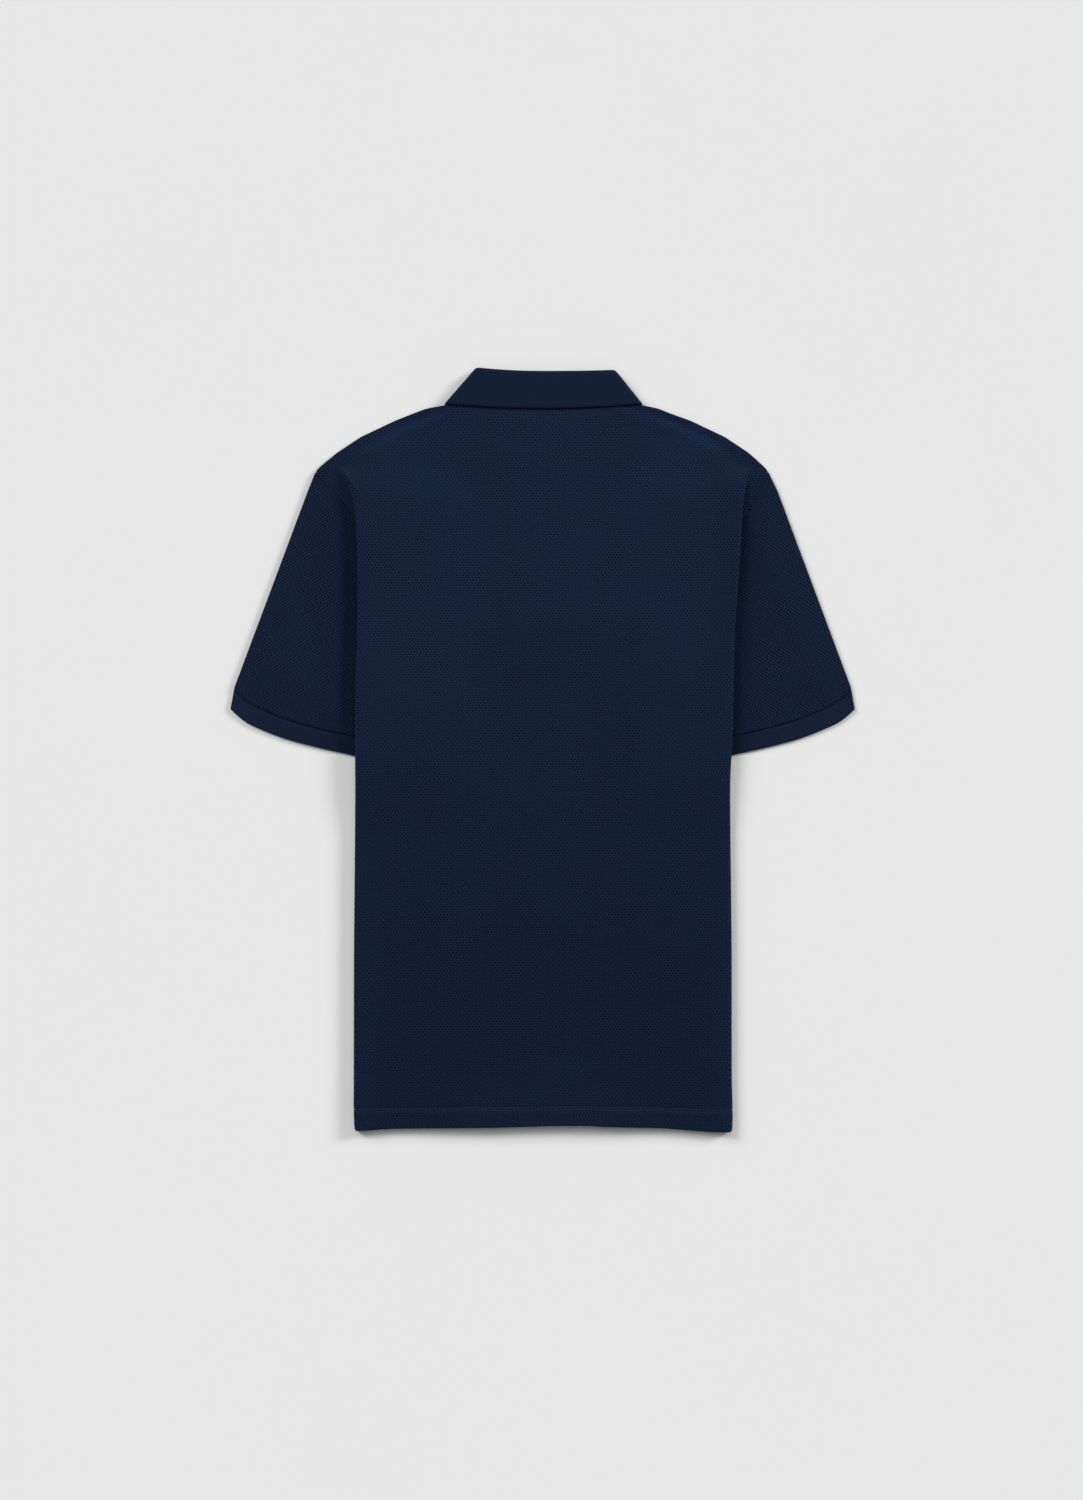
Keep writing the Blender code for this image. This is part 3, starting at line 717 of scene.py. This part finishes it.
def flatTube(name, lines, t, side, look, finish, raised, axis):
    # A ring of cloth pressed flat: along the top of each line, a half turn, back beneath and
    # a half turn. t is each line's share of the way down, and axis the way that the wales run.
    turn = np.radians(np.linspace(0, 180, look["turnSteps"] + 2)[1:-1])
    ends = []
    for end, before in ((lines[:, 0], lines[:, 1]), (lines[:, -1], lines[:, -2])):
        ends.append((end, unit(end - before)))
    flat = np.ones(lines.shape[1])
    rise = np.concatenate([flat, np.cos(turn), -flat, -np.cos(turn)])
    lengths = lengthsAlong(lines.mean(axis=1))
    fromEnd = np.minimum(lengths, lengths[-1] - lengths)[:, None]
    share = roundedEdge(fromEnd, 1.0)
    grids = []
    for face in (1, -1):
        radius = look["half"] + face * look["wall"] / 2 * share
        bulges = [end[:, None] + np.sin(turn)[:, None] * out[:, None] * radius[:, :, None]
                  for end, out in ends]
        plan = np.concatenate([lines[:, ::-1], bulges[0], lines, bulges[1]], axis=1)
        away = np.linalg.norm(plan - lines[:, :1], axis=-1)
        lifted = raised(plan[..., 0], plan[..., 1], t, side, away) * (1 + rise) / 2
        z = look["middle"] + rise * radius + lifted
        grids.append(np.stack([side * plan[..., 0], plan[..., 1], z], axis=-1))
    across = np.array([axis[1], -axis[0]])
    u, v = plan @ across, plan @ axis
    edge = u[:, lines.shape[1] - 1][:, None]
    u = np.where(rise[None] < -0.5, 2 * edge - u + 4, u)
    return clothShell(name, *grids, np.stack([side * u, v], axis=-1), finish, ring=True)


def fuller(lines, t, side):
    # the outer fold moves sideways by ease(10 t) (a + (b - a) t), fading towards the inner fold
    near, far = sleeve["fuller"][side]
    shape = ease(t * 10) * (near + (far - near) * t)
    fade = (1 - np.linspace(0, 1, lines.shape[1])) ** 2
    return lines + np.stack([shape * fade, 0 * shape * fade], axis=-1)


def seamFrom(points):
    # a rounded line with one point for each column of the tube
    return resample(roundCorners(points, smoothCount, 2), spread(sleeve["columns"]))


for side, word, node in ((-1, "Left", "left"), (1, "Right", "right")):
    top = seamFrom(armholeLine(side))
    seamLine, edgeLine = seamFrom(cuffLines[:, :2]), seamFrom(cuffLines[:, 2:])
    down = unit(edgeLine - seamLine)
    bottom = seamLine + down * sleeve["overhang"]
    t = spread(sleeve["stations"], 0.04)[:, None]
    lines = fuller(top + t[:, :, None] * (bottom - top), t, side)
    axis = unit(seamLine[0] - top[0])
    made = flatTube("sleeve" + word, lines, t, side, sleeve, sleeveCloth, sleevePuff, axis)
    finishPiece(made, "pique", "sleeve_" + node)
    start = seamLine + down * (sleeve["overhang"] - cuff["tucked"])
    t = spread(cuff["stations"], 0.03)[:, None]
    lines = fuller(start + t[:, :, None] * (edgeLine - start), 1 + 0 * t, side)
    axis = unit(down.mean(axis=0))
    made = flatTube("cuff" + word, lines, t, side, cuff, ribCloth, cuffPuff, axis)
    finishPiece(made, "rib", "cuff_" + node)
print("sleeves made")


# The collar: a ribbed band that stands up from the neck seam, rolls over and lies down again.
collar = {
    "middle": 4.15, "standOff": 0.9, "leafOff": 3.4, "drop": 1.15, "seamPoints": 300,
    "standSteps": 8, "rollSteps": 10, "leafSteps": 16, "backColumns": 40, "turnColumns": 12,
    "frontColumns": 40, "standLength": 27, "standRound": 1, "leafLength": 35, "leafRound": 2.4,
}
collarSides = {
    -1: {"seam": (86.5, 350.4), "roll": (63.6, 382.1), "edge": (94.8, 347)},
    1: {"seam": (90, 350.4), "roll": (70.6, 379.8), "edge": (97.6, 347)},
}
collarBack = {"seam": 350.4, "roll": 378.5, "edge": 342.4}
collarFront = {"roll": (4, 300), "edge": (62, 262)}
collarBow = {"roll": (11.3, -8.1), "edge": (6, 0)}


def collarLines(side):
    # Seam, top fold and free edge in plan: a parabola over the back, a stop while the band
    # turns over the side, and a bowed line down the front.
    corners = collarSides[side]
    centreX = (collarSides[1]["roll"][0] - collarSides[-1]["roll"][0]) / 2 * side
    across = np.linspace(0, 1, collar["backColumns"])
    f = np.arange(1, collar["frontColumns"] + 1) / collar["frontColumns"]
    neck = neckline[::-1]
    inward = np.stack([neck[:, 1] - 0.45, neck[:, 0] + gap], axis=1)
    inward[0, 1] = corners["seam"][1]
    inward = np.concatenate([[corners["seam"]], inward,
                             [(collarFront["roll"][0], inward[-1, 1] + gap)]])
    lines = {}
    for part in ("seam", "roll", "edge"):
        end = np.array(corners[part])
        backPart = np.stack([centreX + across * (end[0] - centreX),
                             collarBack[part] + (end[1] - collarBack[part]) * across ** 2], axis=1)
        if part == "seam":
            frontPart = resample(roundCorners(inward, collar["seamPoints"], 2), f)
        else:
            frontPart = end + f[:, None] * (np.array(collarFront[part]) - end)
            frontPart = frontPart + np.sin(np.pi * f)[:, None] * np.array(collarBow[part])
        held = np.repeat([end], collar["turnColumns"], axis=0)
        lines[part] = np.concatenate([backPart, held, frontPart])
    turn = np.pi * np.arange(1, collar["turnColumns"] + 1) / collar["turnColumns"]
    turned = np.concatenate([0 * across, turn, np.full(len(f), np.pi)])
    return lines, turned


def collarFace(side, off):
    # distance from the collar's middle: standOff up to the top fold, a half turn, and leafOff
    # beyond it, easing down by drop to the free edge on the back
    lines, turned = collarLines(side)
    seam, roll, edge = lines["seam"], lines["roll"], lines["edge"]
    up = unit(roll - seam)
    middle = (collar["standOff"] + collar["leafOff"]) / 2
    radius = (collar["leafOff"] - collar["standOff"]) / 2
    rows = []
    stand = np.linspace(0, 1, collar["standSteps"])
    for t in stand[:-1]:
        share = roundedEdge(t * collar["standLength"], collar["standRound"])
        rows.append((seam + t * (roll - seam), collar["standOff"] - off * share))
    for angle in np.linspace(-np.pi / 2, np.pi / 2, collar["rollSteps"] + 1):
        far = radius + off
        rows.append((roll + up * far * np.cos(angle), middle + far * np.sin(angle)))
    onBack = (1 + np.cos(turned)) / 2
    for t in spread(collar["leafSteps"] + 1, 0.08)[1:]:
        share = roundedEdge((1 - t) * collar["leafLength"], collar["leafRound"])
        drop = (collar["drop"] * ease(t) + (1 - share) * rib / 2) * onBack
        rows.append((roll + t * (edge - roll), collar["leafOff"] - drop + off * share))
    points = [np.stack([side * (plan[:, 0] + away * np.sin(turned)), plan[:, 1],
                        collar["middle"] + away * np.cos(turned)], axis=1) for plan, away in rows]
    return np.array(points)


collarGrids = []
for off in (rib / 2, -rib / 2):
    left, right = collarFace(-1, off), collarFace(1, off)
    collarGrids.append(np.concatenate([left[:, :0:-1], right], axis=1))
middleRow = collarGrids[0][collar["standSteps"] + collar["rollSteps"] // 2]
rise = np.linalg.norm(np.diff(collarGrids[0], axis=0), axis=2).mean(axis=1)
rise = np.concatenate([[0], np.cumsum(rise)])
uv = np.stack(np.meshgrid(lengthsAlong(middleRow), rise), axis=-1)
collarBand = clothShell("collarBand", *collarGrids, uv, ribCloth)
finishPiece(collarBand, "rib", "collar")
print("collar made")


# Plackets and buttons, on the hidden side.
placket = {"step": 4, "round": 1.2}


def nodeBox(node):
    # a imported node's lowest and highest corners, in the tables' own place
    return (np.array(corner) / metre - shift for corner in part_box(node))


def evenPlaces(low, high):
    # even places about one step apart, with closer ones beside both rounded edges
    step, reach = placket["step"], placket["round"]
    inner = np.linspace(low + reach, high - reach, max(2, int(round((high - low) / step)) + 1))
    near = reach * np.array([0, 0.12, 0.4])
    return np.concatenate([low + near, inner, high - near[::-1]])


def placketStrip(name, node):
    # a slab with rounded edges: its half thickness times (1 - (1 - d / r)^2)^0.5 near an edge
    low, high = nodeBox(node)
    x, y = np.meshgrid(evenPlaces(low[0], high[0]), evenPlaces(low[1], high[1]))
    fromEdge = np.minimum(np.minimum(x - low[0], high[0] - x), np.minimum(y - low[1], high[1] - y))
    half = (high[2] - low[2]) / 2 * roundedEdge(fromEdge, placket["round"])
    middle = (high[2] + low[2]) / 2
    grids = [np.stack([x, y, middle + face * half], axis=-1) for face in (1, -1)]
    made = clothShell(name, *grids, np.stack([x, y], axis=-1), bodyCloth)
    return finishPiece(made, "pique", node)


placketUnder = placketStrip("placketUnder", "placket_under")
placketOver = placketStrip("placketOver", "placket_over")

button = {
    "around": 48, "holes": 4, "holeRadius": 0.75, "holeRing": 1.9, "holeDepth": 1.1,
    "rings": 60, "faceRings": 26, "poleRadius": 0.02,
    "profile": ((0, 0.9), (3.2, 0.85), (4.2, 0.1), (4.6, 0), (5.1, 0.05), (5.55, 0.5), (5.55, 1.1),
                (5.2, 2.0), (3.9, 2.5), (0, 2.5)),
}


def buttonShape(name, node):
    # A turned profile, face down. Each hole sinks the face by depth (1 - (d / r)^4)^0.5.
    low, high = nodeBox(node)
    centre = (low + high) / 2
    line = resample(np.array(button["profile"]), np.linspace(0, 1, button["rings"]))
    angle = np.arange(button["around"]) * 2 * np.pi / button["around"]
    radius = np.maximum(line[:, :1], button["poleRadius"])
    x, y = radius * np.cos(angle), radius * np.sin(angle)
    z = line[:, 1:] + 0 * x
    face = (np.arange(button["rings"]) < button["faceRings"])[:, None]
    for k in range(button["holes"]):
        turn = np.pi / 4 + k * 2 * np.pi / button["holes"]
        holeX, holeY = button["holeRing"] * np.cos(turn), button["holeRing"] * np.sin(turn)
        away = np.hypot(x - holeX, y - holeY)
        bowl = np.sqrt(np.clip(1 - (away / button["holeRadius"]) ** 4, 0, 1))
        z = z + face * button["holeDepth"] * bowl
    points = np.stack([x + centre[0], y + centre[1], z], axis=-1).reshape(-1, 3)
    poles = [[*centre[:2], z[end, 0]] for end in (0, -1)]
    index = np.arange(len(points)).reshape(button["rings"], -1)
    index = np.concatenate([index, index[:, :1]], axis=1)
    quads = np.stack([index[:-1, 1:], index[1:, 1:], index[1:, :-1], index[:-1, :-1]], axis=-1)
    faces = quads.reshape(-1, 4).tolist()
    for pole, after, before in ((len(points), index[0, 1:], index[0, :-1]),
                                (len(points) + 1, index[-1, :-1], index[-1, 1:])):
        faces += np.stack([before, 0 * before + pole, after], axis=1).tolist()
    made = meshObject(name, np.concatenate([points, poles]), faces, buttonPlastic)
    return finishPiece(made, "button", node)


for number, word in enumerate(("Top", "Middle", "Low"), 1):
    buttonShape("button" + word, f"button_{number}")
print("placket and buttons made")


# Stitching.
hemStitch = {"pitch": 3.3, "share": 0.82, "radius": 0.19, "rise": 0.12, "sunk": 0.0,
             "stations": 6, "sides": 6, "skipped": 26}  # columns of cloth left free at the sides
neckStitch = {**hemStitch, "pitch": 2.9, "radius": 0.17, "rise": 0.05, "sunk": 0.04}
neckSeam = {
    "rows": ((341, 338.6), (337.4, 334.6)),  # y where each row's parabola starts and its middle
    "from": -78, "to": 88, "middle": 3, "half": 86, "rise": 1.6, "points": 90, "foldAt": 190,
}


def threadBeads(path, normals, stitch):
    # Thread laid along a path: each stitch is a bead that swells and sinks,
    # radius = r (1 - (2t - 1)^4)^0.5, and dips into the cloth at both ends.
    run = lengthsAlong(path)
    count = max(1, int(run[-1] / stitch["pitch"]))
    start = (np.arange(count) + 0.5 * (1 - stitch["share"])) * run[-1] / count
    t = np.linspace(0, 1, stitch["stations"])
    at = start[:, None] + t * stitch["share"] * run[-1] / count
    centre, up = (np.stack([np.interp(at, run, values[:, k]) for k in range(3)], axis=-1)
                  for values in (path, normals))
    side = np.cross(unit(centre[:, -1:] - centre[:, :1]), up)
    swell = np.sqrt(np.clip(1 - (2 * t - 1) ** 4, 0.04, 1))
    centre = centre + up * (stitch["rise"] * (1 - (2 * t - 1) ** 2) - stitch["sunk"])[:, None]
    sides = stitch["sides"]
    angle = np.arange(sides) * 2 * np.pi / sides
    radius = stitch["radius"] * swell[:, None, None]
    rings = centre[:, :, None] + radius * (
        side[:, :, None] * np.cos(angle)[:, None] + up[:, :, None] * np.sin(angle)[:, None]
    )
    k = np.arange(sides)
    n = (k + 1) % sides
    ring = np.arange(stitch["stations"] - 1)[:, None] * sides
    quads = np.stack([ring + k, ring + n, ring + n + sides, ring + k + sides], axis=-1)
    first, last = np.array([[0, 3, 2, 1], [0, 5, 4, 3]]), np.array([[0, 1, 2, 3], [0, 3, 4, 5]])
    quads = np.concatenate([quads.reshape(-1, 4), first, last + ring[-1] + sides])
    each = stitch["stations"] * sides
    faces = (np.arange(count)[:, None, None] * each + quads).reshape(-1, 4)
    return rings.reshape(-1, 3), faces


def stitchPiece(name, seams, stitch, finish):
    # all the rows of a seam as one piece; each row is a path and its normals
    points, faces, start = [], [], 0
    for path, normals in seams:
        beads, quads = threadBeads(path, normals, stitch)
        points.append(beads)
        faces.append(quads + start)
        start += len(beads)
    points = np.concatenate(points)
    made = meshObject(name, points, np.concatenate(faces).tolist(), finish, points[:, :2])
    return finishPiece(made, "pique")


def hemSeams(outer, normals, rows):
    keep = slice(hemStitch["skipped"], -hemStitch["skipped"])
    nearest = [np.argmin(np.abs(rows - rows[0] - place)) for place in body["stitchRows"]]
    return [(outer[k, keep], normals[k, keep]) for k in nearest]


def backTop(x, y):
    # height of the back's upper face away from its folds
    start = np.full(len(y), float(neckSeam["foldAt"]))
    level = np.diag(mainHeight(np.abs(x)[None] + 0 * y[:, None], y, start, tableAt(heights, 2, y)))
    return level + backLift(x, y) + creaseHeight(backCreases, x, y) + halfLayer + pique / 2


def neckSeams():
    # y = foot + rise (x / to)^2 - (foot - bow) (1 - ((x - middle) / half)^2)
    x = np.linspace(neckSeam["from"], neckSeam["to"], neckSeam["points"])
    share = 1 - ((x - neckSeam["middle"]) / neckSeam["half"]) ** 2
    for foot, bow in neckSeam["rows"]:
        y = foot + neckSeam["rise"] * (x / neckSeam["to"]) ** 2 - (foot - bow) * share
        yield np.stack([x, y, backTop(x, y)], axis=1), np.tile([0.0, 0, 1], (len(x), 1))


stitchPiece("hemStitchesBack", hemSeams(backFaces[0], backNormal, backRows), hemStitch, thread)
stitchPiece("hemStitchesFront", hemSeams(frontFaces[0], frontNormal, frontRows), hemStitch, thread)
stitchPiece("neckStitches", neckSeams(), neckStitch, neckThread)
print("stitches made")


studio = {
    "floorSize": 8.0, "floorLevel": -0.0001, "world": 0.23,
    "cameraHeight": 3.2, "shirtTop": 0.005, "seenLength": 1.5, "sensor": 36, "farthest": 20,
    "centre": (-0.5, 1.5),  # in millimetres, the rest of the studio in metres
    "lamps": {
        # share of the light, height above the surface and turn from the collar's side in
        # degrees, and how wide each one looks from the shirt
        "leftSoftbox": (0.36, 25, 50, 28), "rightSoftbox": (0.27, 16, -62, 14),
        "overhead": (0.14, 60, 0, 40),
    },
}


def makeFloor():
    half, level = studio["floorSize"] / 2, studio["floorLevel"]
    corners = [(half * x, half * y, level) for x, y in ((-1, -1), (1, -1), (1, 1), (-1, 1))]
    mesh = bpy.data.meshes.new("surface")
    mesh.from_pydata(corners, [], [(0, 1, 2, 3)])
    mesh.materials.append(grainMaterial("paleSurface", floorLook))
    newObject("surface", mesh)


def makeLights():
    world = bpy.data.worlds.new("softRoom")
    world.use_nodes = True
    shade = world.node_tree.nodes["Background"]
    shade.inputs["Color"].default_value = (1, 1, 1, 1)
    shade.inputs["Strength"].default_value = studio["world"]
    bpy.context.scene.world = world
    for name, (share, height, turn, wide) in studio["lamps"].items():
        lamp = bpy.data.lights.new(name, "SUN")
        lamp.energy = share * np.pi / np.sin(np.radians(height))
        lamp.angle = np.radians(wide)
        made = newObject(name, lamp)
        made.rotation_euler = (-np.radians(90 - height), 0, np.radians(turn))


def makeCamera():
    lens = bpy.data.cameras.new("camera")
    lens.sensor_width = studio["sensor"]
    lens.lens = studio["sensor"] * studio["cameraHeight"] / studio["seenLength"]
    lens.clip_end = studio["farthest"]
    made = newObject("camera", lens)
    centre = (np.array(studio["centre"]) + shift[:2]) * metre
    made.location = (*centre, studio["cameraHeight"] + studio["shirtTop"])
    bpy.context.scene.camera = made
    bpy.context.scene.view_settings.view_transform = "Standard"


makeFloor()
makeLights()
makeCamera()
print("surface, light and camera made")
